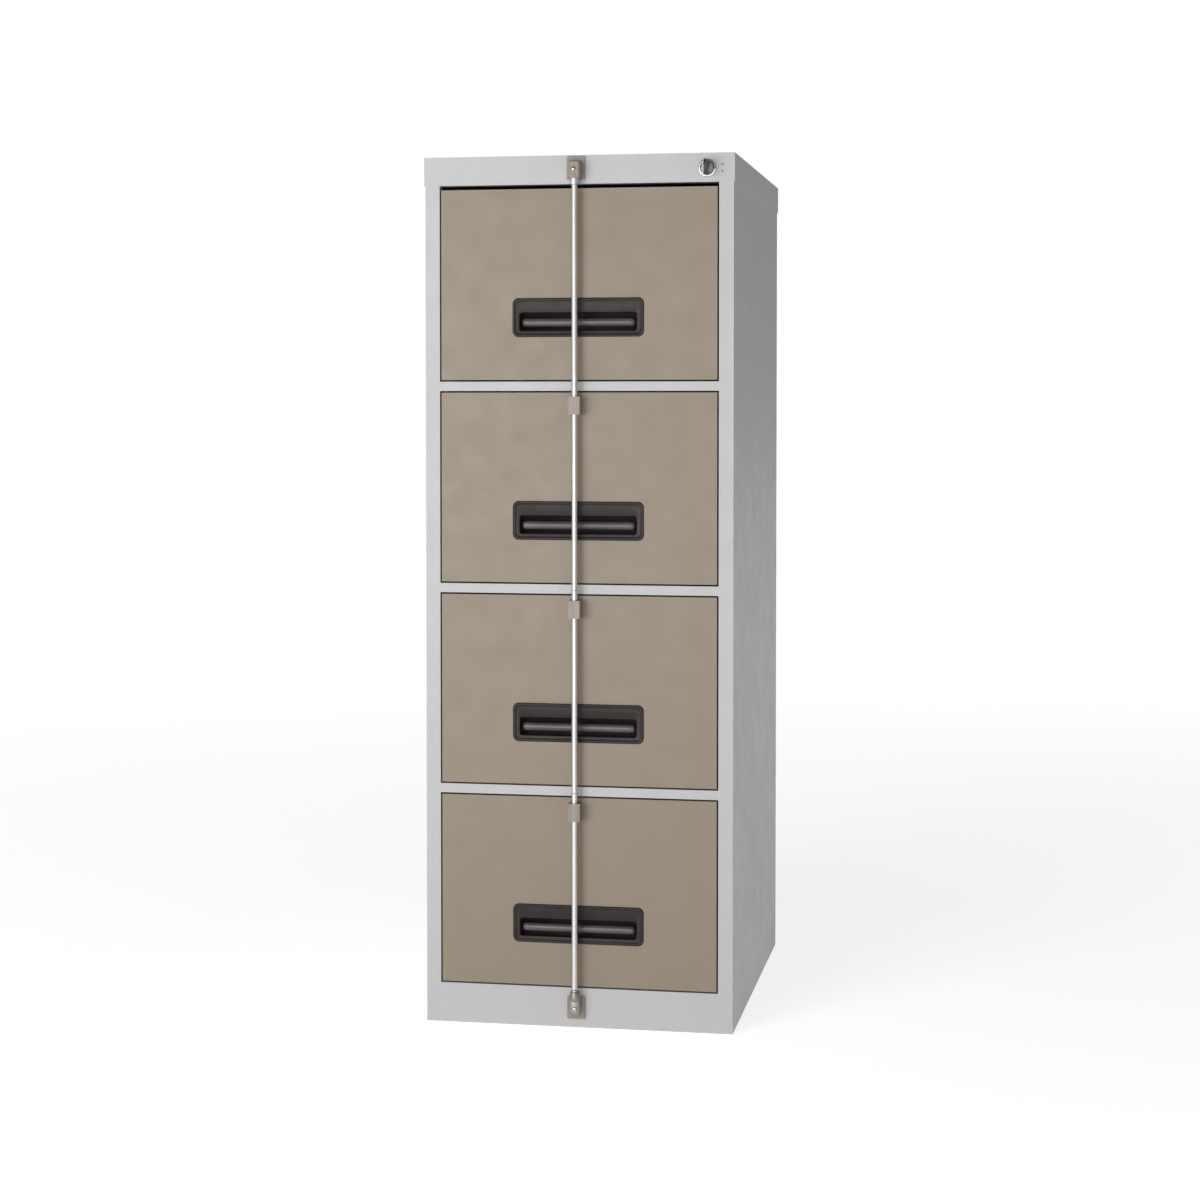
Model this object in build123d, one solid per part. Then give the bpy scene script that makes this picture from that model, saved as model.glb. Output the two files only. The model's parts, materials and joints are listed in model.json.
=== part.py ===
from build123d import *
import os

# Four-drawer vertical filing cabinet of folded steel sheet, with a front locking bar.
# Millimetres. X is to the right, Y to the rear, Z up. The origin is the middle of the
# footprint on the floor.
os.makedirs("parts", exist_ok=True)

# ---- Driving dimensions ------------------------------------------------------------
WIDTH = 470.0               # over the side panels
DEPTH = 610.0               # front plane to back panel flange
HEIGHT = 1315.0             # floor to top of the cap
KEY_REACH = 34.0            # how far the key stands out in front of the front plane
SHEET = 1.0                 # sheet steel
CAP_SHEET = 1.5             # the cap laps over the carcass by its own thickness
CAP_HEIGHT = 43.0
STILE_WIDTH = 22.0          # front flange of a side panel
FOLD_DEPTH = 20.0           # depth of the folds behind stiles and rails

DRAWERS = 4
DRAWER_PITCH = 305.5
FRONT_WIDTH = 421.0
FRONT_HEIGHT = 286.5
FRONT_DEPTH = 24.0          # folded edge of a drawer front
TOP_FRONT_EDGE = 1265.5     # upper edge of the top drawer front
GAP = 2.5                   # between a drawer front and the frame round it

TRAY_WIDTH = 396.0
TRAY_DEPTH = 545.0
TRAY_FLOOR_RISE = 12.0      # above the lower edge of the drawer front
TRAY_RIM_DROP = 25.0        # below the upper edge of the drawer front
TRAY_RIM = 6.0              # folded rim that hanging files would rest on

PULL_WIDTH, PULL_HEIGHT, PULL_PROUD = 200.5, 58.6, 2.0
PULL_DROP = 192.8           # centre of the pull below the upper edge of the front
CUP_WIDTH, CUP_HEIGHT, CUP_DEPTH, CUP_WALL = 186.0, 47.0, 22.0, 1.5
MOUTH_WIDTH, MOUTH_HEIGHT, MOUTH_DROP = 179.0, 27.4, 6.0     # opening below the hood

RUNNER_START = 34.0         # behind the front plane
RUNNER_LENGTH = 540.0
RUNNER_SHEET = 1.2
RUNNER_RISE = 60.0          # runner's centre line above the tray floor
RUNNER_SPACE = 12.7         # tray side to upright

BAR_DIAMETER = 9.0
BAR_X, BAR_STANDOFF = -2.5, 15.0
BAR_CUT = 0.6               # clearance where one length of the bar ends and the next begins
KEEPER_WIDTH, KEEPER_HEIGHT, KEEPER_DEPTH = 17.7, 27.0, 22.0
KEEPER_DROP = 6.0
FIT = 0.05                  # radial clearance of a running fit

LOCK_X, LOCK_Z = 195.3, 1292.5
BEZEL_DIAMETER, BEZEL_PROUD = 27.3, 3.0
BARREL_DIAMETER, CYLINDER_DIAMETER = 22.0, 18.0
BARREL_LENGTH = 26.0

# ---- Derived places ----------------------------------------------------------------
HALF = WIDTH / 2
FRONT = (KEY_REACH - DEPTH - CAP_SHEET) / 2
BACK = FRONT + DEPTH
SIDE_IN = HALF - SHEET
STILE_IN = HALF - STILE_WIDTH
CARCASS_TOP = HEIGHT - CAP_SHEET
SKIRT_BOTTOM = HEIGHT - CAP_HEIGHT
FRONT_EDGE = FRONT_WIDTH / 2
TRAY_SIDE = TRAY_WIDTH / 2
TRAY_START = FRONT + FRONT_DEPTH + SHEET
TRAY_END = TRAY_START + TRAY_DEPTH
UPRIGHT_FACE = TRAY_SIDE + RUNNER_SPACE
LOWEST_EDGE = TOP_FRONT_EDGE - (DRAWERS - 1) * DRAWER_PITCH - FRONT_HEIGHT
PLINTH_TOP = LOWEST_EDGE - GAP
BAR_Y = FRONT - BAR_STANDOFF
CAP_FACE = FRONT - CAP_SHEET


def block(x, y, z):
    """A box between three pairs of coordinates."""
    size = [pair[1] - pair[0] for pair in (x, y, z)]
    middle = [(pair[0] + pair[1]) / 2 for pair in (x, y, z)]
    return Pos(*middle) * Box(*size)


def across(half):
    """The pair of X coordinates at equal distances from the middle."""
    return (-half, half)


def facing(x, y, z):
    """A plane that faces the user, with its Y axis upright."""
    return Plane(origin=(x, y, z), x_dir=(1, 0, 0), z_dir=(0, -1, 0))


def slab(width, height, radius, x, z, front, back):
    """An upright plate with rounded corners between two depths."""
    outline = facing(x, back, z) * RectangleRounded(width, height, radius)
    return extrude(outline, amount=back - front)


def pin(diameter, x, z, front, back):
    """A round pin along Y between two depths."""
    return extrude(facing(x, back, z) * Circle(diameter / 2), amount=back - front)


def post(diameter, bottom, top):
    """A round upright on the locking bar's centre line."""
    base = Plane(origin=(BAR_X, BAR_Y, bottom))
    return extrude(base * Circle(diameter / 2), amount=top - bottom)


def both_sides(shape):
    """A right-hand piece and its mirror image on the left."""
    return [shape, shape.mirror(Plane.YZ)]


def save(name, *shapes):
    """Write one node; several shapes become a group of separate solids."""
    solids = [solid for shape in shapes for solid in shape.solids()]
    body = solids[0] if len(solids) == 1 else Compound(solids)
    export_step(body, f"parts/{name}.step")


# ---- Carcass -----------------------------------------------------------------------
SCREW_INSET = 16.0          # cap screw to the rear edge
SCREW_SHANK, SCREW_HEAD, SCREW_HEAD_HEIGHT = 3.9, 7.0, 1.2
REAR_FLANGE = 18.0


def sideways(diameter, x_in, x_out):
    """A round pin along X at the cap screw."""
    start = Plane(origin=(x_in, BACK - SCREW_INSET, LOCK_Z), z_dir=(1, 0, 0))
    return extrude(start * Circle(diameter / 2), amount=x_out - x_in)


def screw_holes():
    hole = sideways(SCREW_SHANK + 2 * FIT, SIDE_IN - SHEET, HALF + 2 * CAP_SHEET)
    return both_sides(hole)


def side_panel():
    height = (0, CARCASS_TOP)
    panel = block((SIDE_IN, HALF), (FRONT, BACK), height)
    panel += block((STILE_IN, HALF), (FRONT, FRONT + SHEET), height)
    panel += block((STILE_IN, STILE_IN + SHEET), (FRONT, FRONT + FOLD_DEPTH), height)
    panel += block((HALF - REAR_FLANGE, HALF), (BACK - SHEET, BACK), height)
    return panel - screw_holes()[0]


def channel(top, bottom):
    """A rail between the stiles, folded back along its upper and lower edges."""
    rail = block(across(STILE_IN), (FRONT, FRONT + FOLD_DEPTH), (bottom, top))
    return rail - block(across(STILE_IN), (FRONT + SHEET, FRONT + FOLD_DEPTH),
                        (bottom + SHEET, top - SHEET))


def lock_hole():
    return pin(BARREL_DIAMETER, LOCK_X, LOCK_Z, FRONT - FOLD_DEPTH, FRONT + FOLD_DEPTH / 2)


def top_cap():
    outer = block(across(HALF + CAP_SHEET), (CAP_FACE, BACK + CAP_SHEET), (SKIRT_BOTTOM, HEIGHT))
    cap = outer - block(across(HALF), (FRONT, BACK), (SKIRT_BOTTOM, CARCASS_TOP))
    for hole in screw_holes():
        cap -= hole
    return cap - lock_hole()


def floor_pan():
    rise, span = PLINTH_TOP / 2, (FRONT + FOLD_DEPTH, BACK - 2 * SHEET)
    pan = block(across(SIDE_IN), span, (0, rise))
    return pan - block(across(SIDE_IN), (span[0] + SHEET, span[1] - SHEET), (0, rise - SHEET))


def uprights():
    """Four hat-section posts that carry the runners, two on each side."""
    posts = []
    post_depth, front_inset, rear_inset = 40.0, 50.0, 100.0
    for start in (FRONT + front_inset, BACK - rear_inset):
        solid = block((UPRIGHT_FACE, SIDE_IN), (start, start + post_depth),
                      (PLINTH_TOP / 2, TOP_FRONT_EDGE))
        hollow = block((UPRIGHT_FACE + SHEET, SIDE_IN), (start + SHEET, start + post_depth - SHEET),
                       (PLINTH_TOP / 2, TOP_FRONT_EDGE))
        posts += both_sides(solid - hollow)
    return posts


def carcass():
    right, left = both_sides(side_panel())
    save("side_panel_right", right)
    save("side_panel_left", left)
    save("back_panel", block(across(SIDE_IN), (BACK - 2 * SHEET, BACK - SHEET), (0, CARCASS_TOP)))
    save("top_cap", top_cap())
    save("top_rail", channel(CARCASS_TOP, SKIRT_BOTTOM) - lock_hole())
    save("cross_rails", *[channel(edge + DRAWER_PITCH - FRONT_HEIGHT - GAP, edge + GAP)
                          for edge in front_edges()[1:]])
    save("plinth", channel(PLINTH_TOP, 0))
    save("floor_pan", floor_pan())
    save("uprights", *uprights())
    shank = sideways(SCREW_SHANK, SIDE_IN - SHEET, HALF + CAP_SHEET)
    head = sideways(SCREW_HEAD, HALF + CAP_SHEET, HALF + CAP_SHEET + SCREW_HEAD_HEIGHT)
    save("cap_screws", *both_sides(shank + head))


# ---- Runners -----------------------------------------------------------------------
# Height of each member, then its web's and its flanges' distances from the tray side.
CABINET_MEMBER = (45.0, 11.5, 12.7, 2.5, 12.7)
MIDDLE_MEMBER = (38.0, 6.0, 7.2, 3.0, 11.0)
DRAWER_MEMBER = (28.0, 0.0, 1.2, 0.0, 5.5)


def runner(member, centre):
    """One straight folded member, as a web with an upper and a lower flange."""
    tall, web_in, web_out, flange_in, flange_out = member
    length = (FRONT + RUNNER_START, FRONT + RUNNER_START + RUNNER_LENGTH)
    web = (TRAY_SIDE + web_in, TRAY_SIDE + web_out)
    flange = (TRAY_SIDE + flange_in, TRAY_SIDE + flange_out)
    low, high = centre - tall / 2, centre + tall / 2
    shape = block(web, length, (low, high))
    shape += block(flange, length, (low, low + RUNNER_SHEET))
    return shape + block(flange, length, (high - RUNNER_SHEET, high))


# ---- Drawers -----------------------------------------------------------------------
CATCH_SIZE, CATCH_REACH, CATCH_START = 16.0, 14.0, 36.0
CATCH_RISE = 190.0          # catch above the tray floor


def front_edges():
    """Upper edge of each drawer front, from the top drawer down."""
    return [TOP_FRONT_EDGE - index * DRAWER_PITCH for index in range(DRAWERS)]


def drawer_front(top):
    bottom = top - FRONT_HEIGHT
    depth = (FRONT, FRONT + FRONT_DEPTH)
    pan = block(across(FRONT_EDGE), depth, (bottom, top))
    pan -= block(across(FRONT_EDGE - SHEET), (FRONT + SHEET, depth[1]), (bottom + SHEET, top - SHEET))
    return pan - block(across(CUP_WIDTH / 2 + SHEET), (FRONT, FRONT + SHEET),
                       (top - PULL_DROP - CUP_HEIGHT / 2 - SHEET,
                        top - PULL_DROP + CUP_HEIGHT / 2 + SHEET))


def tray(top):
    """Floor, sides and folded rims from one sheet, with the lock's catch on the right."""
    floor, rim = top - FRONT_HEIGHT + TRAY_FLOOR_RISE, top - TRAY_RIM_DROP
    length = (TRAY_START, TRAY_END)
    shape = block(across(TRAY_SIDE), length, (floor, rim))
    shape -= block(across(TRAY_SIDE - SHEET), length, (floor + SHEET, rim - SHEET))
    shape -= block(across(TRAY_SIDE - TRAY_RIM), length, (rim - SHEET, rim))
    catch = block((TRAY_SIDE, TRAY_SIDE + CATCH_REACH),
                  (FRONT + CATCH_START, FRONT + CATCH_START + SHEET),
                  (floor + CATCH_RISE, floor + CATCH_RISE + CATCH_SIZE))
    return shape + catch


def tray_back(top):
    floor, rim = top - FRONT_HEIGHT + TRAY_FLOOR_RISE, top - TRAY_RIM_DROP
    return block(across(TRAY_SIDE - SHEET), (TRAY_END - SHEET, TRAY_END), (floor + SHEET, rim - SHEET))


def pull(centre):
    """Moulded pull: a flange, a cup behind it and a hood over the upper part of its mouth."""
    flange_radius, cup_radius = 9.0, 6.0
    flange = slab(PULL_WIDTH, PULL_HEIGHT, flange_radius, 0, centre, FRONT - PULL_PROUD, FRONT)
    cup = slab(CUP_WIDTH, CUP_HEIGHT, cup_radius, 0, centre, FRONT, FRONT + CUP_DEPTH)
    hollow = slab(CUP_WIDTH - 2 * CUP_WALL, CUP_HEIGHT - 2 * CUP_WALL, cup_radius - CUP_WALL, 0, centre,
                  FRONT, FRONT + CUP_DEPTH - CUP_WALL)
    mouth = slab(MOUTH_WIDTH, MOUTH_HEIGHT, cup_radius - CUP_WALL, 0, centre - MOUTH_DROP,
                 FRONT - PULL_PROUD, FRONT)
    return flange + cup - hollow - mouth


def keeper(top):
    """Block on the drawer front, bored for the locking bar."""
    high = top - KEEPER_DROP
    body = block((BAR_X - KEEPER_WIDTH / 2, BAR_X + KEEPER_WIDTH / 2),
                 (FRONT - KEEPER_DEPTH, FRONT), (high - KEEPER_HEIGHT, high))
    return body - post(BAR_DIAMETER + 2 * FIT, high - KEEPER_HEIGHT, high)


def drawers():
    cabinet_members = []
    for number, top in enumerate(front_edges(), start=1):
        name = f"drawer_{number}"
        centre = top - FRONT_HEIGHT + TRAY_FLOOR_RISE + RUNNER_RISE
        save(f"{name}_front", drawer_front(top))
        save(f"{name}_inner_front", block(across(FRONT_EDGE), (FRONT + FRONT_DEPTH, TRAY_START),
                                          (top - FRONT_HEIGHT, top)))
        save(f"{name}_tray", tray(top))
        save(f"{name}_back", tray_back(top))
        save(f"{name}_pull", pull(top - PULL_DROP))
        save(f"{name}_runners", *both_sides(runner(DRAWER_MEMBER, centre)))
        save(f"{name}_middle_runners", *both_sides(runner(MIDDLE_MEMBER, centre)))
        cabinet_members += both_sides(runner(CABINET_MEMBER, centre))
        save(f"{name}_bar_length", bar_length(number, top))
        if number > 1:
            save(f"{name}_keeper", keeper(top))
    save("cabinet_runners", *cabinet_members)


# ---- Locking bar and its fittings --------------------------------------------------
PLATE_THICKNESS = 2.0
TOP_PLATE_WIDTH, TOP_PLATE_HEIGHT = 28.2, 36.0
BLOCK_WIDTH, BLOCK_HEIGHT, BLOCK_DEPTH = 18.0, 26.4, 20.5
COLLAR_DIAMETER, COLLAR_HEIGHT = 13.5, 9.0
COLLAR_BOTTOM = 1270.0
BOTTOM_PLATE_WIDTH, BOTTOM_PLATE_HEIGHT, BOTTOM_PLATE_BASE = 27.6, 34.0, 13.0
TONGUE_WIDTH, TONGUE_THICKNESS, TONGUE_LENGTH, TONGUE_BASE = 15.5, 3.0, 38.0, 20.0
RIVET_SHANK, RIVET_HEAD, RIVET_HEAD_HEIGHT = 5.0, 7.8, 2.0
TOP_RIVET_HEAD = 6.6
RIVET_Z = 31.0
STUB_TOP = LOWEST_EDGE - GAP / 2


def bar_length(number, top):
    """The stretch of the locking bar in front of one drawer."""
    middle_of_rail = (DRAWER_PITCH - FRONT_HEIGHT) / 2
    high = COLLAR_BOTTOM if number == 1 else top + middle_of_rail
    low = STUB_TOP if number == DRAWERS else top - FRONT_HEIGHT - middle_of_rail
    return post(BAR_DIAMETER, low + BAR_CUT / 2, high - BAR_CUT / 2)


def bar_fittings():
    plate_face = CAP_FACE - PLATE_THICKNESS
    save("bar_top_plate", slab(TOP_PLATE_WIDTH, TOP_PLATE_HEIGHT, PLATE_THICKNESS, BAR_X,
                               HEIGHT - CAP_SHEET - TOP_PLATE_HEIGHT / 2, plate_face, CAP_FACE))
    block_low = COLLAR_BOTTOM + COLLAR_HEIGHT
    block_front = plate_face - BLOCK_DEPTH
    save("bar_top_block", block((BAR_X - BLOCK_WIDTH / 2, BAR_X + BLOCK_WIDTH / 2),
                                (block_front, plate_face), (block_low, block_low + BLOCK_HEIGHT)))
    save("bar_collar", post(COLLAR_DIAMETER, COLLAR_BOTTOM, block_low))

    plate_middle = BOTTOM_PLATE_BASE + BOTTOM_PLATE_HEIGHT / 2
    save("bar_bottom_plate", slab(BOTTOM_PLATE_WIDTH, BOTTOM_PLATE_HEIGHT, PLATE_THICKNESS, BAR_X,
                                  plate_middle, FRONT - PLATE_THICKNESS, FRONT)
         - pin(RIVET_SHANK, BAR_X, RIVET_Z, FRONT - PLATE_THICKNESS, FRONT))
    tongue_front = BAR_Y - TONGUE_THICKNESS / 2
    tongue = slab(TONGUE_WIDTH, TONGUE_LENGTH, TONGUE_WIDTH / 2 - FIT, BAR_X,
                  TONGUE_BASE + TONGUE_LENGTH / 2, tongue_front, tongue_front + TONGUE_THICKNESS)
    stub = post(BAR_DIAMETER, RIVET_Z + TONGUE_LENGTH / 3, STUB_TOP - BAR_CUT / 2)
    save("bar_tongue", tongue + stub - pin(RIVET_SHANK, BAR_X, RIVET_Z, tongue_front, FRONT))

    bottom_rivet = pin(RIVET_SHANK, BAR_X, RIVET_Z, tongue_front, FRONT)
    bottom_rivet += pin(RIVET_HEAD, BAR_X, RIVET_Z, tongue_front - RIVET_HEAD_HEIGHT, tongue_front)
    top_rivet = pin(TOP_RIVET_HEAD, BAR_X, LOCK_Z, block_front - RIVET_HEAD_HEIGHT, block_front)
    save("bar_rivets", bottom_rivet, top_rivet)


# ---- Lock, key and the inner lock bar ----------------------------------------------
CYLINDER_PROUD = 4.5
SLOT_WIDTH, BLADE_WIDTH, BLADE_HEIGHT, BLADE_LENGTH = 2.2, 2.0, 8.0, 22.0
SLOT_HEIGHT = 8.6
BOW_THICKNESS, BOW_SIZE, BOW_EYE = 2.8, 23.0, 3.2
CAM_REACH, CAM_THICKNESS, CAM_WIDTH = 15.0, 2.0, 12.0
LOCK_BAR_DEPTH = 30.0       # behind the front plane
LOCK_BAR_WIDTH, LOCK_BAR_FOOT = 16.0, 80.0
LOCK_BAR_SHEET = 2.0
HOOK_SIZE, HOOK_CLEARANCE = 12.0, 2.0
ARM_TOP, ARM_HEIGHT = 1285.0, 5.0


def lock_case():
    face = CAP_FACE - BEZEL_PROUD
    case = pin(BEZEL_DIAMETER, LOCK_X, LOCK_Z, face, CAP_FACE)
    case += pin(BARREL_DIAMETER, LOCK_X, LOCK_Z, CAP_FACE, FRONT + BARREL_LENGTH)
    return case - pin(CYLINDER_DIAMETER + 2 * FIT, LOCK_X, LOCK_Z, face, FRONT + BARREL_LENGTH)


def lock_parts():
    save("lock_housing", lock_case())
    cylinder_face = CAP_FACE - CYLINDER_PROUD
    cylinder_end = FRONT + BARREL_LENGTH + SHEET
    cylinder = pin(CYLINDER_DIAMETER, LOCK_X, LOCK_Z, cylinder_face, cylinder_end)
    slot = block((LOCK_X - SLOT_WIDTH / 2, LOCK_X + SLOT_WIDTH / 2),
                 (cylinder_face, cylinder_face + BLADE_LENGTH + SHEET),
                 (LOCK_Z - SLOT_HEIGHT / 2, LOCK_Z + SLOT_HEIGHT / 2))
    save("lock_cylinder", cylinder - slot)
    cam = slab(CAM_REACH + CAM_WIDTH / 2, CAM_WIDTH, CAM_WIDTH / 3, LOCK_X - CAM_REACH / 2 + CAM_WIDTH / 4,
               LOCK_Z, cylinder_end, cylinder_end + CAM_THICKNESS)
    save("lock_cam", cam)

    bow_back = cylinder_face - SHEET
    bow_front = FRONT - KEY_REACH
    blade = block((LOCK_X - BLADE_WIDTH / 2, LOCK_X + BLADE_WIDTH / 2),
                  (bow_back, cylinder_face + BLADE_LENGTH),
                  (LOCK_Z - BLADE_HEIGHT / 2, LOCK_Z + BLADE_HEIGHT / 2))
    upright = Plane(origin=(LOCK_X - BOW_THICKNESS / 2, (bow_front + bow_back) / 2, LOCK_Z),
                    x_dir=(0, 1, 0), z_dir=(1, 0, 0))
    bow = extrude(upright * RectangleRounded(bow_back - bow_front, BOW_SIZE, BOW_SIZE / 3),
                  amount=BOW_THICKNESS)
    eye = Plane(origin=(LOCK_X - BOW_THICKNESS, bow_front + BOW_SIZE / 4, LOCK_Z - BOW_SIZE / 4),
                z_dir=(1, 0, 0))
    bow -= extrude(eye * Circle(BOW_EYE), amount=2 * BOW_THICKNESS)
    save("key", blade + bow)


def lock_bar():
    """Flat upright behind the right stile with a hook over each drawer's catch, and its arm."""
    inner = STILE_IN + 2 * SHEET
    depth = (FRONT + LOCK_BAR_DEPTH, FRONT + LOCK_BAR_DEPTH + LOCK_BAR_SHEET)
    bar = block((inner, inner + LOCK_BAR_WIDTH), depth, (LOCK_BAR_FOOT, ARM_TOP))
    hook_tip = TRAY_SIDE + CATCH_REACH - HOOK_CLEARANCE
    for top in front_edges():
        low = top - FRONT_HEIGHT + TRAY_FLOOR_RISE + CATCH_RISE + CATCH_SIZE + HOOK_CLEARANCE
        bar += block((hook_tip, inner), depth, (low, low + HOOK_SIZE))
    save("lock_bar", bar)
    save("lock_bar_arm", block((LOCK_X - CAM_WIDTH, inner), depth, (ARM_TOP - ARM_HEIGHT, ARM_TOP)))


carcass()
drawers()
bar_fittings()
lock_parts()
lock_bar()
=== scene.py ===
import bpy
import json
import math
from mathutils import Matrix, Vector


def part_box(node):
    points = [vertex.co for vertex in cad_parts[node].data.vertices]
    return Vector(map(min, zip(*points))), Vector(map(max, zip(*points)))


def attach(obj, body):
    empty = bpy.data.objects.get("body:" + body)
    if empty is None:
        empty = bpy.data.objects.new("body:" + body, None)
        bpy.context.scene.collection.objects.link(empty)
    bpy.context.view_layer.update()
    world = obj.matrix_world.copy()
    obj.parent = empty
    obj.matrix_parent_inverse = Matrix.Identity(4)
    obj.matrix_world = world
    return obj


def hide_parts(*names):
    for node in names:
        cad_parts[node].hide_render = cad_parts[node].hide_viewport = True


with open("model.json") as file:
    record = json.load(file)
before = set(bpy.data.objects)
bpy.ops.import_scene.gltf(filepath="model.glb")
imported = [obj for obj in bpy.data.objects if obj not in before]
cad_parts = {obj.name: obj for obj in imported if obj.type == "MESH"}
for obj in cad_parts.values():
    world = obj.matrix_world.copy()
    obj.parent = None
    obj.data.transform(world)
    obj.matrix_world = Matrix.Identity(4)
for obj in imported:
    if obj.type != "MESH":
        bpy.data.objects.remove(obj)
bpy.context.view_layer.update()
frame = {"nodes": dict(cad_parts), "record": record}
nodes = frame["nodes"]

# ---- Driving values, metres --------------------------------------------------------
DRAWERS = 4
FOLD_SOFTENING = 0.00045    # bevel along the folds and edges of painted sheet steel
EDGE_SOFTENING = 0.0005     # bevel along machined or moulded edges
SOFTENING_ANGLE = 40        # degrees between faces from which an edge is bevelled
CAMERA_PLACE = (0.6709, -3.8330, 0.9446)
CAMERA_YAW, CAMERA_PITCH = 10.194, 1.829     # degrees, to the left and down
LENS, SENSOR, SHIFT_Y = 72.06, 36.0, -0.1004
AMBIENT = 0.23              # light from the studio's white walls
FLOOR_GLOW = (0.66, 0.80)   # painted glow: light the floor gives off itself, near the cabinet and far away
GLOW_REACH = (0.9, 4.5)     # distances from the cabinet at which those two hold
FLOOR_REACH, FLOOR_ROUGHNESS = 40.0, 0.9
FLOOR_SHADES = (0.88, 0.88, 0.88), (0.91, 0.91, 0.91)
WHITE = (1, 1, 1, 1)
# Place, target, width and height, and watts of each softbox.
SOFTBOXES = {
    "key_light": ((-1.9, -4.0, 0.95), (0, 0, 0.50), (2.0, 2.2), 102),
    "front_fill": ((0.1, -4.8, 0.55), (0, 0, 0.5), (2.6, 1.8), 62),
}

PAINT_GREY = (0.378, 0.380, 0.378)
PAINT_TAUPE = (0.200, 0.159, 0.116)
FITTING_TAUPE = (0.225, 0.193, 0.160)
PULL_BROWN = (0.0190, 0.0130, 0.0134)
# Painted light: the grip is the pull's own plastic, given a lighter colour for the light that reaches it.
GRIP_BROWN_PAINTED_LIGHT = (0.068, 0.053, 0.057)
STEEL = (0.580, 0.575, 0.565)
RIVET_STEEL = (0.40, 0.395, 0.39)
FOOT_STEEL = (0.30, 0.285, 0.265)
ZINC = (0.62, 0.63, 0.64)
CHROME = (0.60, 0.60, 0.63)
KEY_BLACK = (0.018, 0.018, 0.020)
MARK_GREY = (0.16, 0.16, 0.16)

# Sizes that the CAD boxes don't give by themselves.
RIVET_HEAD, TOP_RIVET_HEAD, RIVET_HEIGHT, SCREW_HEIGHT = 0.0078, 0.0066, 0.0020, 0.0012
TONGUE_LENGTH, TONGUE_HALF_THICK, NECK_LENGTH = 0.0380, 0.0015, 0.0090
BARREL_RADIUS = 0.0110
HASP_CORNER, SHARPEST_CORNER = 0.0042, 0.0008
SOCKET_SHARE = 0.86         # pressed socket's radius as a share of the foot's half width
# Inset from the strap's outline, and share of its depth, from the plate to the front.
HASP_PROFILE = ((0, 0), (0, 0.80), (0.0003, 0.90), (0.0010, 0.97), (0.0020, 1.0), (0.0046, 1.0),
                (0.0050, 0.985), (0.0054, 0.985))
BLADE_IN, BLADE_THICK, BLADE_HALF = 0.0230, 0.0019, 0.0038
BLADE_OVERLAP = 0.001       # how far the blade runs into the key's head
KEY_THICK, KEY_EDGE, EYE_RADIUS = 0.0028, 0.0005, 0.0032
TOOTH_DEPTH, TOOTH_DEPTHS = 0.0014, (0.2, 0.9, 0.4, 1.0, 0.6, 0.3)
BLADE_SHOULDER = 0.003      # plain stretch at each end of the teeth
MARK_RADIUS, MARK_THICKNESS, MARK_GAP, MARK_SHIFT = 0.0016, 0.0001, 0.0090, 0.0050

# The pull's front: inset from its outline and depth behind its face, from the back edge inwards.
FLANGE_RADIUS, STEP_DEPTH = 0.009, 0.0014
FLANGE_PROFILE = ((0.0004, 0.0020), (0, STEP_DEPTH), (0.0006, 0.0003), (0.0016, 0), (0.0030, 0),
                  (0.0040, 0.0004), (0.0048, STEP_DEPTH), (0.0062, STEP_DEPTH))
# Its mouth: growth beyond the opening's outline and depth behind the step.
MOUTH_WIDTH, MOUTH_HEIGHT, MOUTH_RADIUS, MOUTH_DROP = 0.179, 0.0274, 0.004, 0.006
MOUTH_PROFILE = ((0.0006, 0), (0.0001, 0.0003), (0, 0.0009), (0, 0.0060))
CUP_FLOOR, CUP_TAPER = 0.0035, 0.0005
GRIP_RADIUS, GRIP_SQUAT, GRIP_ROUNDING, GRIP_INSET = 0.0062, 0.85, 0.004, 0.0030
GRIP_DEPTH, GRIP_DROP = 0.0078, 0.0012

# Shares of the bezel's height in front of the cap and of its radius, from its edge to its lip.
BEZEL_PROFILE = ((0, 1), (0.35, 1), (0.7, 0.965), (0.95, 0.90), (1, 0.84), (0.92, 0.78), (0.62, 0.72))
BEZEL_LIP, PLUG_GAP = 0.55, 0.0004


# ---- Materials ---------------------------------------------------------------------
UPRIGHT_GRAIN, ENDWAYS_GRAIN, ROUND_GRAIN = (1, 1, 0.03), (1, 0.05, 1), (1, 1, 1)


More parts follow.
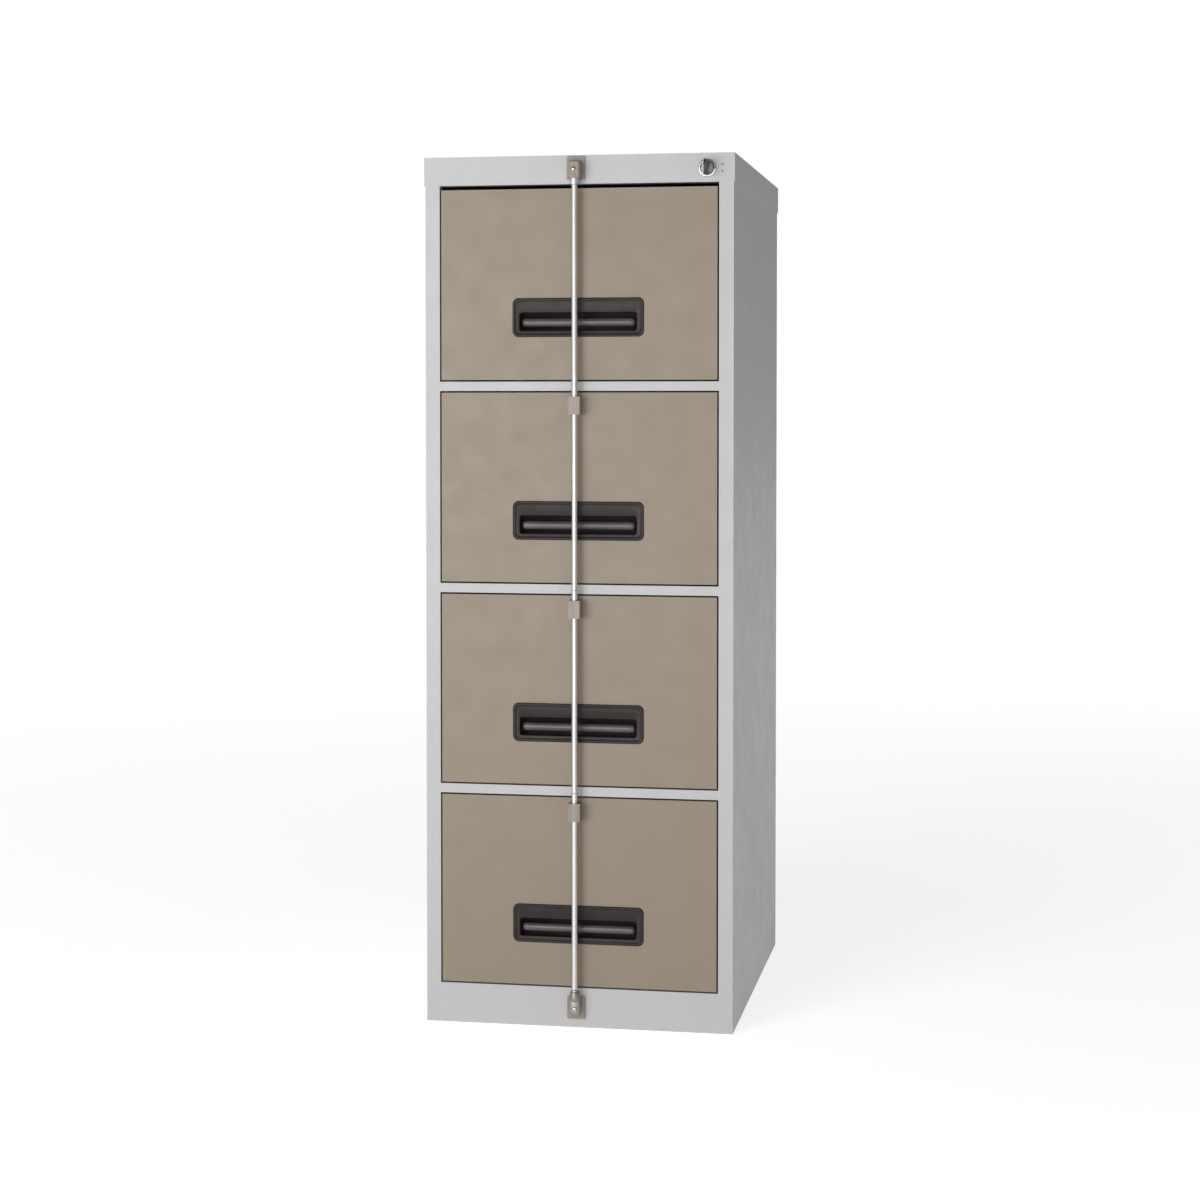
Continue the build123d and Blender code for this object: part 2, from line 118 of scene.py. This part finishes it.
class Nodes:
    """Short calls for building one node material."""

    def __init__(self, name):
        self.material = bpy.data.materials.new(name)
        self.material.use_nodes = True
        self.tree = self.material.node_tree
        self.shader = self.tree.nodes["Principled BSDF"]
        self.place = self.add("ShaderNodeTexCoord").outputs["Object"]

    def add(self, kind, **values):
        node = self.tree.nodes.new(kind)
        for key, value in values.items():
            if hasattr(node, key):
                setattr(node, key, value)
            else:
                node.inputs[key].default_value = value
        return node

    def link(self, source, target):
        self.tree.links.new(source, target)

    def noise(self, scale, detail=4.0, stretch=(1, 1, 1)):
        mapping = self.add("ShaderNodeMapping")
        mapping.inputs["Scale"].default_value = stretch
        self.link(self.place, mapping.inputs["Vector"])
        node = self.add("ShaderNodeTexNoise")
        node.inputs["Scale"].default_value = scale
        node.inputs["Detail"].default_value = detail
        self.link(mapping.outputs["Vector"], node.inputs["Vector"])
        return node.outputs["Fac"]

    def between(self, factor, low, high, start=0.3, end=0.7):
        node = self.add("ShaderNodeMapRange")
        for key, value in (("From Min", start), ("From Max", end), ("To Min", low), ("To Max", high)):
            node.inputs[key].default_value = value
        self.link(factor, node.inputs["Value"])
        return node.outputs["Result"]

    def blend(self, factor, first, second):
        node = self.add("ShaderNodeMix", data_type="RGBA")
        for socket, value in ((node.inputs[6], first), (node.inputs[7], second)):
            if hasattr(value, "is_linked"):
                self.link(value, socket)
            else:
                socket.default_value = (*value, 1)
        self.link(factor, node.inputs[0])
        return node.outputs[2]

    def edges(self, radius):
        """0 on flat stretches and 1 on sharp edges, from the bevelled normal."""
        bevel = self.add("ShaderNodeBevel")
        bevel.inputs["Radius"].default_value = radius
        true = self.add("ShaderNodeNewGeometry")
        dot = self.add("ShaderNodeVectorMath", operation="DOT_PRODUCT")
        self.link(bevel.outputs["Normal"], dot.inputs[0])
        self.link(true.outputs["Normal"], dot.inputs[1])
        return self.between(dot.outputs["Value"], 1.0, 0.0, 0.80, 0.995)

    def bump(self, height, strength, distance):
        node = self.add("ShaderNodeBump")
        node.inputs["Strength"].default_value = strength
        node.inputs["Distance"].default_value = distance
        self.link(height, node.inputs["Height"])
        self.link(node.outputs["Normal"], self.shader.inputs["Normal"])


def shade(colour, factor):
    """A colour made lighter or darker."""
    return tuple(min(1.0, channel * factor) for channel in colour)


def powder_paint(name, colour, rough=0.46, brushed=0.0):
    """Baked paint on sheet steel: fine orange peel, faint clouding and a painted highlight along the fold
    edges, in patches.

    brushed is how far fine upright lines in the metal show through, from 0 to 1."""
    cloud_scale, speck_scale, edge_highlight_scale, line_scale, gloss_scale, peel_scale = 5, 950, 60, 260, 24, 620
    m = Nodes(name)
    cloud = m.blend(m.between(m.noise(cloud_scale), 0, 1), shade(colour, 0.988), shade(colour, 1.010))
    speck = m.between(m.noise(speck_scale, 2.0), 0, 1, 0.62, 0.75)
    specked = m.blend(speck, cloud, shade(colour, 0.90))
    # Painted highlight: the colour is lighter along sharp folds and edges, in patches.
    painted_edge_highlight = m.add("ShaderNodeMath", operation="MULTIPLY")
    m.link(m.edges(0.0012), painted_edge_highlight.inputs[0])
    m.link(m.between(m.noise(edge_highlight_scale), 0.10, 0.55), painted_edge_highlight.inputs[1])
    lines = m.between(m.noise(line_scale, 3.0, UPRIGHT_GRAIN), 0, 1, 0.40, 0.62)
    lined = m.blend(lines, shade(colour, 1 - 0.30 * brushed), shade(colour, 1 + 0.10 * brushed))
    base = m.add("ShaderNodeMix", data_type="RGBA")
    base.inputs[0].default_value = brushed
    m.link(specked, base.inputs[6])
    m.link(lined, base.inputs[7])
    m.link(m.blend(painted_edge_highlight.outputs[0], base.outputs[2], shade(colour, 1.28)), m.shader.inputs["Base Color"])
    m.link(m.between(m.noise(gloss_scale), rough - 0.05, rough + 0.06), m.shader.inputs["Roughness"])
    m.bump(m.noise(peel_scale, 3.0), 0.07, 0.0002)
    m.shader.inputs["Specular IOR Level"].default_value = 0.42
    return m.material


def bright_metal(name, colour, rough, grain):
    """Drawn or plated metal with fine lines; grain stretches the noise along one axis."""
    line_scale, gloss_scale = 420, 90
    m = Nodes(name)
    lines = m.noise(line_scale, 5.0, grain)
    m.link(m.blend(m.between(lines, 0, 1), shade(colour, 0.84), colour), m.shader.inputs["Base Color"])
    m.link(m.between(m.noise(gloss_scale, 4.0, grain), rough - 0.06, rough + 0.10),
           m.shader.inputs["Roughness"])
    m.shader.inputs["Metallic"].default_value = 1.0
    m.bump(lines, 0.10, 0.0001)
    return m.material


def moulded_plastic(name, colour, rough, shine=0.5):
    """Moulded plastic: spark-eroded grain, slight flow marks and a painted highlight on its edges."""
    flow_scale, gloss_scale, grain_scale = 18, 40, 1400
    m = Nodes(name)
    flow = m.blend(m.between(m.noise(flow_scale, 3.0, (1, 1, 4)), 0, 1),
                   shade(colour, 0.8), shade(colour, 1.25))
    # Painted highlight: the colour is much lighter on the edges.
    m.link(m.blend(m.edges(0.0010), flow, shade(colour, 2.2)), m.shader.inputs["Base Color"])
    m.link(m.between(m.noise(gloss_scale), rough - 0.05, rough + 0.08), m.shader.inputs["Roughness"])
    m.bump(m.noise(grain_scale, 2.0), 0.12, 0.0001)
    m.shader.inputs["Specular IOR Level"].default_value = shine
    return m.material


MATERIALS = {
    "carcass_paint": powder_paint("carcass_paint", PAINT_GREY),
    "front_paint": powder_paint("front_paint", PAINT_TAUPE),
    "fitting_paint": powder_paint("fitting_paint", FITTING_TAUPE, 0.40, 0.7),
    "pull_plastic": moulded_plastic("pull_plastic", PULL_BROWN, 0.42, 0.20),
    "bar_steel": bright_metal("bar_steel", STEEL, 0.46, UPRIGHT_GRAIN),
    "foot_steel": bright_metal("foot_steel", FOOT_STEEL, 0.50, ROUND_GRAIN),
    "zinc_steel": bright_metal("zinc_steel", ZINC, 0.38, ENDWAYS_GRAIN),
    "lock_chrome": bright_metal("lock_chrome", CHROME, 0.13, ROUND_GRAIN),
    "rivet_steel": bright_metal("rivet_steel", RIVET_STEEL, 0.30, ROUND_GRAIN),
    "key_head": moulded_plastic("key_head", KEY_BLACK, 0.36),
    "nickel": bright_metal("nickel", ZINC, 0.28, ROUND_GRAIN),
    # The grip's plastic is a lighter copy of the pull's: painted light.
    "lit_grip_plastic": moulded_plastic("lit_grip_plastic", GRIP_BROWN_PAINTED_LIGHT, 0.34),
    "printed_mark": moulded_plastic("printed_mark", MARK_GREY, 0.5),
}


def finish_cad_nodes():
    """Each carried-over CAD node gets its slot's material and softened edges."""
    for part in frame["record"]["subparts"]:
        piece = nodes[part["node"]]
        piece.data.materials.clear()
        piece.data.materials.append(MATERIALS[part["material_slot"]])
        bevel = piece.modifiers.new("folded_edges", "BEVEL")
        sheet = part["material_slot"] in ("carcass_paint", "front_paint")
        bevel.width = FOLD_SOFTENING if sheet else EDGE_SOFTENING
        bevel.segments = 3
        bevel.limit_method = "ANGLE"
        bevel.angle_limit = math.radians(SOFTENING_ANGLE)
        bevel.harden_normals = True


# ---- Mesh helpers ------------------------------------------------------------------
def add_piece(mesh, slot, body):
    """A smooth-shaded piece made from a mesh, riding on a body."""
    piece = bpy.data.objects.new(mesh.name, mesh)
    bpy.context.scene.collection.objects.link(piece)
    mesh.materials.clear()
    mesh.materials.append(MATERIALS[slot])
    for polygon in mesh.polygons:
        polygon.use_smooth = True
    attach(piece, body)
    return piece


def mesh_piece(name, points, faces, slot, body):
    mesh = bpy.data.meshes.new(name)
    mesh.from_pydata(points, [], faces)
    mesh.validate()
    mesh.update()
    return add_piece(mesh, slot, body)


def circle(x, z, radius, turns=24):
    """Points round a circle, anticlockwise from its right."""
    return [(x + radius * math.cos(2 * math.pi * t / turns), z + radius * math.sin(2 * math.pi * t / turns))
            for t in range(turns)]


def rounded_outline(width, height, radius, steps=8):
    """Points round a rectangle with rounded corners, anticlockwise from the lower right."""
    points = []
    for quarter, (sx, sz) in enumerate(((1, -1), (1, 1), (-1, 1), (-1, -1))):
        cx, cz = sx * (width / 2 - radius), sz * (height / 2 - radius)
        for step in range(steps + 1):
            angle = math.radians(90 * (quarter - 1) + 90 * step / steps)
            points.append((cx + radius * math.cos(angle), cz + radius * math.sin(angle)))
    return points


def skin_rings(rings, close_last):
    """Points and faces that join rings of equal length, each a list of (x, y, z)."""
    count = len(rings[0])
    points = [point for ring in rings for point in ring]
    faces = []
    for level in range(len(rings) - 1):
        for index in range(count):
            after = (index + 1) % count
            low, high = level * count, (level + 1) * count
            faces.append((low + index, low + after, high + after, high + index))
    if close_last:
        faces.append(tuple((len(rings) - 1) * count + index for index in range(count)))
    return points, faces


def ring(outline, centre_x, depth, centre_z):
    """An outline set upright in space at a depth."""
    return [(centre_x + x, depth, centre_z + z) for x, z in outline]


# ---- Camera, light and floor -------------------------------------------------------
def camera():
    data = bpy.data.cameras.new("camera")
    data.lens, data.sensor_width, data.shift_y = LENS, SENSOR, SHIFT_Y
    view = bpy.data.objects.new("camera", data)
    bpy.context.scene.collection.objects.link(view)
    view.location = CAMERA_PLACE
    view.rotation_euler = (math.radians(90 - CAMERA_PITCH), 0, math.radians(CAMERA_YAW))
    bpy.context.scene.camera = view


def softbox(name, place, target, size, power):
    data = bpy.data.lights.new(name, "AREA")
    data.shape, data.size, data.size_y, data.energy = "RECTANGLE", size[0], size[1], power
    light = bpy.data.objects.new(name, data)
    bpy.context.scene.collection.objects.link(light)
    light.location = place
    light.rotation_euler = (Vector(target) - Vector(place)).to_track_quat("-Z", "Y").to_euler()


def floor():
    """A wide sheet of pale paper that glows with painted light, more strongly further from the cabinet."""
    corners = [(x * FLOOR_REACH, y * FLOOR_REACH, 0) for x, y in ((-1, -1), (1, -1), (1, 1), (-1, 1))]
    mesh = bpy.data.meshes.new("floor")
    mesh.from_pydata(corners, [], [(0, 1, 2, 3)])
    sheet = bpy.data.objects.new("floor", mesh)
    bpy.context.scene.collection.objects.link(sheet)
    m = Nodes("floor_paper")
    m.link(m.blend(m.between(m.noise(0.8), 0, 1), *FLOOR_SHADES), m.shader.inputs["Base Color"])
    m.shader.inputs["Roughness"].default_value = FLOOR_ROUGHNESS
    m.shader.inputs["Emission Color"].default_value = WHITE
    # Painted glow: the floor's emission grows with distance from the cabinet.
    away = m.add("ShaderNodeVectorMath", operation="LENGTH")
    m.link(m.place, away.inputs[0])
    m.link(m.between(away.outputs["Value"], *FLOOR_GLOW, *GLOW_REACH),
           m.shader.inputs["Emission Strength"])
    mesh.materials.append(m.material)


def white_room():
    """Dim white walls that light the cabinet and show pure white behind it."""
    world = bpy.data.worlds.new("studio")
    world.use_nodes = True
    tree = world.node_tree
    lighting = tree.nodes["Background"]
    lighting.inputs["Color"].default_value = WHITE
    lighting.inputs["Strength"].default_value = AMBIENT
    backdrop = tree.nodes.new("ShaderNodeBackground")
    backdrop.inputs["Color"].default_value = WHITE
    rays, choice = tree.nodes.new("ShaderNodeLightPath"), tree.nodes.new("ShaderNodeMixShader")
    tree.links.new(rays.outputs["Is Camera Ray"], choice.inputs["Fac"])
    tree.links.new(lighting.outputs["Background"], choice.inputs[1])
    tree.links.new(backdrop.outputs["Background"], choice.inputs[2])
    tree.links.new(choice.outputs["Shader"], tree.nodes["World Output"].inputs["Surface"])
    bpy.context.scene.world = world


def studio():
    floor()
    white_room()
    for name, settings in SOFTBOXES.items():
        softbox(name, *settings)
    bpy.context.scene.view_settings.view_transform = "Standard"


# ---- Pieces ------------------------------------------------------------------------
def detailed_pull(number):
    """Moulded pull: rolled flange, inner step, flat hood and a rounded grip in the cup."""
    node, body = f"drawer_{number}_pull", f"drawer_{number}"
    low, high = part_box(node)
    width, height = high.x - low.x, high.z - low.z
    middle_x, middle_z, face = (low.x + high.x) / 2, (low.z + high.z) / 2, low.y
    step = face + STEP_DEPTH

    def flange_ring(inset, depth):
        corner = max(FLANGE_RADIUS - inset * 0.6, 0.002)
        outline = rounded_outline(width - 2 * inset, height - 2 * inset, corner)
        return ring(outline, middle_x, depth, middle_z)

    def mouth_ring(grow, depth):
        outline = rounded_outline(MOUTH_WIDTH + 2 * grow, MOUTH_HEIGHT + 2 * grow, MOUTH_RADIUS)
        return ring(outline, middle_x, depth, middle_z - MOUTH_DROP)

    rings = [flange_ring(inset, face + depth) for inset, depth in FLANGE_PROFILE]
    rings += [mouth_ring(grow, step + depth) for grow, depth in MOUTH_PROFILE]
    rings.append(mouth_ring(-CUP_TAPER, high.y - CUP_FLOOR))
    points, faces = skin_rings(rings, True)
    pull = mesh_piece(f"pull_{number}", points, faces, "pull_plastic", body)
    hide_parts(node)

    # The grip: a half-round moulding that runs along the cup behind the mouth, in the pull's plastic
    # painted lighter for the light that falls on it.
    half_width = MOUTH_WIDTH / 2 - GRIP_INSET
    depth, height = step + GRIP_DEPTH, middle_z - MOUTH_DROP - GRIP_DROP
    sections, turns = 20, 24
    grip_rings = []
    for index in range(sections + 1):
        x = half_width * math.sin((-1 + 2 * index / sections) * math.pi / 2)
        left = min(1.0, max(0.0, (half_width - abs(x)) / GRIP_ROUNDING))
        radius = GRIP_RADIUS * math.sqrt(max(0.02, 1 - (1 - left) ** 2))
        grip_rings.append([(middle_x + x, depth - GRIP_SQUAT * radius * forward, height + radius * up)
                           for forward, up in circle(0, 0, 1, turns)])
    points, faces = skin_rings(grip_rings, True)
    faces.append(tuple(reversed(range(turns))))
    mesh_piece(f"pull_grip_{number}", points, faces, "lit_grip_plastic", body)


def turned(name, profile, centre, axis, slot, body):
    """A turned piece: profile is (distance along axis, radius) pairs, closed at both ends."""
    turns = 40
    axis = Vector(axis).normalized()
    side = axis.orthogonal().normalized()
    other = axis.cross(side)
    rings = [[Vector(centre) + axis * along + (side * x + other * z) * radius
              for x, z in circle(0, 0, 1, turns)] for along, radius in profile]
    points, faces = skin_rings(rings, True)
    faces.append(tuple(reversed(range(turns))))
    return mesh_piece(name, points, faces, slot, body)


def dome(base, radius, height):
    """Profile of a domed head that stands on a flat face."""
    steps, rim, crown = 7, 0.25, 0.03     # rim's share of the height, crown's share of the radius
    profile = [(base, radius)]
    for step in range(steps):
        angle = math.radians(90 * step / steps)
        profile.append((base + height * (rim + (1 - rim) * math.sin(angle)), radius * math.cos(angle)))
    return profile + [(base + height, radius * crown)]


def rivets_and_screws():
    """Domed heads in place of the plain CAD ones."""
    front = (0, -1, 0)
    low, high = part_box("bar_rivets")
    middle = (low.x + high.x) / 2
    block_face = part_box("bar_top_block")[0].y
    heads = (("rivet_top", TOP_RIVET_HEAD / 2, block_face, high.z - TOP_RIVET_HEAD / 2),
             ("rivet_bottom", RIVET_HEAD / 2, bottom_rivet_seat(), low.z + RIVET_HEAD / 2))
    for name, radius, seat, z in heads:
        head = turned(name, dome(0, radius, RIVET_HEIGHT), (middle, seat, z), front, "rivet_steel", "root")
        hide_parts("bar_rivets")
    low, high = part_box("cap_screws")
    place = ((low.y + high.y) / 2, (low.z + high.z) / 2)
    for name, x, way in (("left", low.x, 1), ("right", high.x, -1)):
        screw = turned(f"cap_screw_{name}", dome(0, (high.z - low.z) / 2, SCREW_HEIGHT),
                       (x + way * SCREW_HEIGHT, *place), (-way, 0, 0), "rivet_steel", "root")
        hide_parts("cap_screws")


def top_hasp():
    """The top fitting: a pressed strap with round corners, hollow towards the plate."""
    low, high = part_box("bar_top_block")
    centre_x, centre_z = (low.x + high.x) / 2, (low.z + high.z) / 2
    width, height, depth = high.x - low.x, high.z - low.z, high.y - low.y
    levels = []
    for inset, along in HASP_PROFILE:
        corner = max(HASP_CORNER - inset, SHARPEST_CORNER)
        outline = rounded_outline(width - 2 * inset, height - 2 * inset, corner)
        levels.append(ring(outline, centre_x, high.y - along * depth, centre_z))
    points, faces = skin_rings(levels, True)
    hasp = mesh_piece("bar_top_hasp", points, faces, "fitting_paint", "root")
    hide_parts("bar_top_block")


def bottom_rivet_seat():
    """Depth of the flat foot's front face, where the lower rivet's head sits."""
    low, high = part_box("bar_tongue")
    return (low.y + high.y) / 2 - TONGUE_HALF_THICK


def bar_foot():
    """The bar's flat lower end, rounded round its rivet, with a pressed socket round the rod."""
    low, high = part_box("bar_tongue")
    middle, width = (low.x + high.x) / 2, high.x - low.x
    rod_radius, axis_y = (high.y - low.y) / 2, (low.y + high.y) / 2
    edge = 0.0005
    outline = rounded_outline(width, TONGUE_LENGTH, width / 2 - 0.0002, 12)
    soft = [(x * 0.95, z * 0.98) for x, z in outline]
    levels = [ring(points, middle, axis_y + depth * TONGUE_HALF_THICK, low.z + TONGUE_LENGTH / 2)
              for points, depth in ((soft, 1), (outline, 0.6), (outline, -0.6), (soft, -1))]
    points, faces = skin_rings(levels, True)
    faces.append(tuple(reversed(range(len(outline)))))
    foot = mesh_piece("bar_foot_tongue", points, faces, "foot_steel", "root")

    # The rod's lower end is forged flat, so it narrows into the foot.
    neck = low.z + TONGUE_LENGTH / 2 + NECK_LENGTH / 3
    centre, upward, rod_length = (middle, axis_y, neck), (0, 0, 1), high.z - neck
    rod = [(0, rod_radius * 0.42), (NECK_LENGTH * 0.35, rod_radius * 0.74), (NECK_LENGTH, rod_radius),
           (rod_length - edge, rod_radius), (rod_length, rod_radius - edge)]
    stub = turned("bar_foot_stub", rod, centre, upward, "bar_steel", "root")

    top, wide = low.z + TONGUE_LENGTH - neck, width / 2
    socket = [(0, rod_radius * 0.6), (0.0020, wide * 0.78), (0.0060, wide * SOCKET_SHARE),
              (top - 0.0008, wide * SOCKET_SHARE), (top, wide * 0.80)]
    sleeve = turned("bar_foot_socket", socket, centre, upward, "foot_steel", "root")
    for piece in (foot, stub, sleeve):
        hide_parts("bar_tongue")


def lock_face():
    """The lock's case: a rolled bezel in front of the cap and its barrel behind."""
    low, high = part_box("lock_housing")
    centre_x, centre_z = (low.x + high.x) / 2, (low.z + high.z) / 2
    cap_face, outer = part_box("top_cap")[0].y, (high.x - low.x) / 2
    plug_low, plug_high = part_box("lock_cylinder")
    inner = (plug_high.x - plug_low.x) / 2 + PLUG_GAP
    proud, barrel_end = cap_face - low.y, cap_face - high.y
    profile = [(barrel_end, inner), (barrel_end, BARREL_RADIUS), (0, BARREL_RADIUS)]
    profile += [(proud * along, outer * share) for along, share in BEZEL_PROFILE]
    profile += [(proud * BEZEL_LIP, inner), (barrel_end, inner)]
    turns = 56
    rings = [ring(circle(0, 0, radius, turns), centre_x, cap_face - along, centre_z)
             for along, radius in profile]
    points, faces = skin_rings(rings, False)
    bezel = mesh_piece("lock_bezel", points, faces, "lock_chrome", "root")
    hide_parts("lock_housing")


def key_shape(name, outline, thickness, place, slot, body, holes=()):
    """A flat upright plate cut from an outline in its own plane, with soft edges."""
    curve = bpy.data.curves.new(name, "CURVE")
    curve.dimensions, curve.fill_mode = "2D", "BOTH"
    curve.extrude = thickness / 2 - KEY_EDGE
    curve.bevel_depth, curve.bevel_resolution = KEY_EDGE, 2
    for loop in (outline, *holes):
        spline = curve.splines.new("POLY")
        spline.points.add(len(loop) - 1)
        for point, (along, up) in zip(spline.points, loop):
            point.co = (along, up, 0, 1)
        spline.use_cyclic_u = True
    drawing = bpy.data.objects.new(name + "_drawing", curve)
    mesh = bpy.data.meshes.new_from_object(drawing)
    bpy.data.objects.remove(drawing)
    mesh.name = name
    # The drawing's X runs along the key's own Y axis, and its Y runs upright.
    for vertex in mesh.vertices:
        along, up, off = vertex.co
        vertex.co = (place[0] + off, place[1] + along, place[2] + up)
    piece = add_piece(mesh, slot, body)
    piece.modifiers.new("even_normals", "WEIGHTED_NORMAL")
    return piece


def toothed_blade(length):
    """Outline of a key blade that points along +X, with cuts on one edge."""
    cut_start, cut_end = 0.35, 0.65
    top = [(0, BLADE_HALF)]
    step = (length - 2 * BLADE_SHOULDER) / len(TOOTH_DEPTHS)
    for index, depth in enumerate(TOOTH_DEPTHS):
        floor_of_cut = BLADE_HALF - TOOTH_DEPTH * depth
        top += [(BLADE_SHOULDER + step * index, BLADE_HALF),
                (BLADE_SHOULDER + step * (index + cut_start), floor_of_cut),
                (BLADE_SHOULDER + step * (index + cut_end), floor_of_cut)]
    return [(0, -BLADE_HALF), (length - BLADE_HALF, -BLADE_HALF), (length, 0),
            (length - BLADE_HALF * 0.6, BLADE_HALF)] + top[::-1]


def inserted_key():
    """The key in the lock: a moulded head on a toothed nickel blade."""
    low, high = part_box("key")
    centre_x, centre_z = (low.x + high.x) / 2, (low.z + high.z) / 2
    bow_depth, bow_height = high.y - low.y - BLADE_IN, high.z - low.z
    bow_middle = low.y + bow_depth / 2
    eye = circle(low.y + bow_height / 4 - bow_middle, -bow_height / 4, EYE_RADIUS)
    # The soft edge stands out from the outline by its own radius.
    outline = rounded_outline(bow_depth - 2 * KEY_EDGE, bow_height - 2 * KEY_EDGE, bow_height / 3.2)
    bow = key_shape("key_bow", outline, KEY_THICK, (centre_x, bow_middle, centre_z), "key_head",
                    "inserted_key", [eye])
    blade = key_shape("key_blade", toothed_blade(BLADE_IN + BLADE_OVERLAP), BLADE_THICK,
                      (centre_x, high.y - BLADE_IN - BLADE_OVERLAP, centre_z), "nickel",
                      "inserted_key")
    for piece in (bow, blade):
        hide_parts("key")


def lock_marks():
    """Two small printed dots beside the lock, one for each end of the key's turn."""
    low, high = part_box("lock_housing")
    cap_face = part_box("top_cap")[0].y
    centre_x, centre_z = high.x + MARK_GAP, (low.z + high.z) / 2
    outline = circle(0, 0, MARK_RADIUS, 20)
    for name, shift in (("upper", MARK_SHIFT), ("lower", -MARK_SHIFT)):
        rings = [ring(outline, centre_x, depth, centre_z + shift)
                 for depth in (cap_face, cap_face - MARK_THICKNESS)]
        points, faces = skin_rings(rings, True)
        mesh_piece(f"lock_mark_{name}", points, faces, "printed_mark", "root")


camera()
studio()
finish_cad_nodes()
for drawer in range(1, DRAWERS + 1):
    detailed_pull(drawer)
rivets_and_screws()
top_hasp()
bar_foot()
lock_face()
lock_marks()
inserted_key()
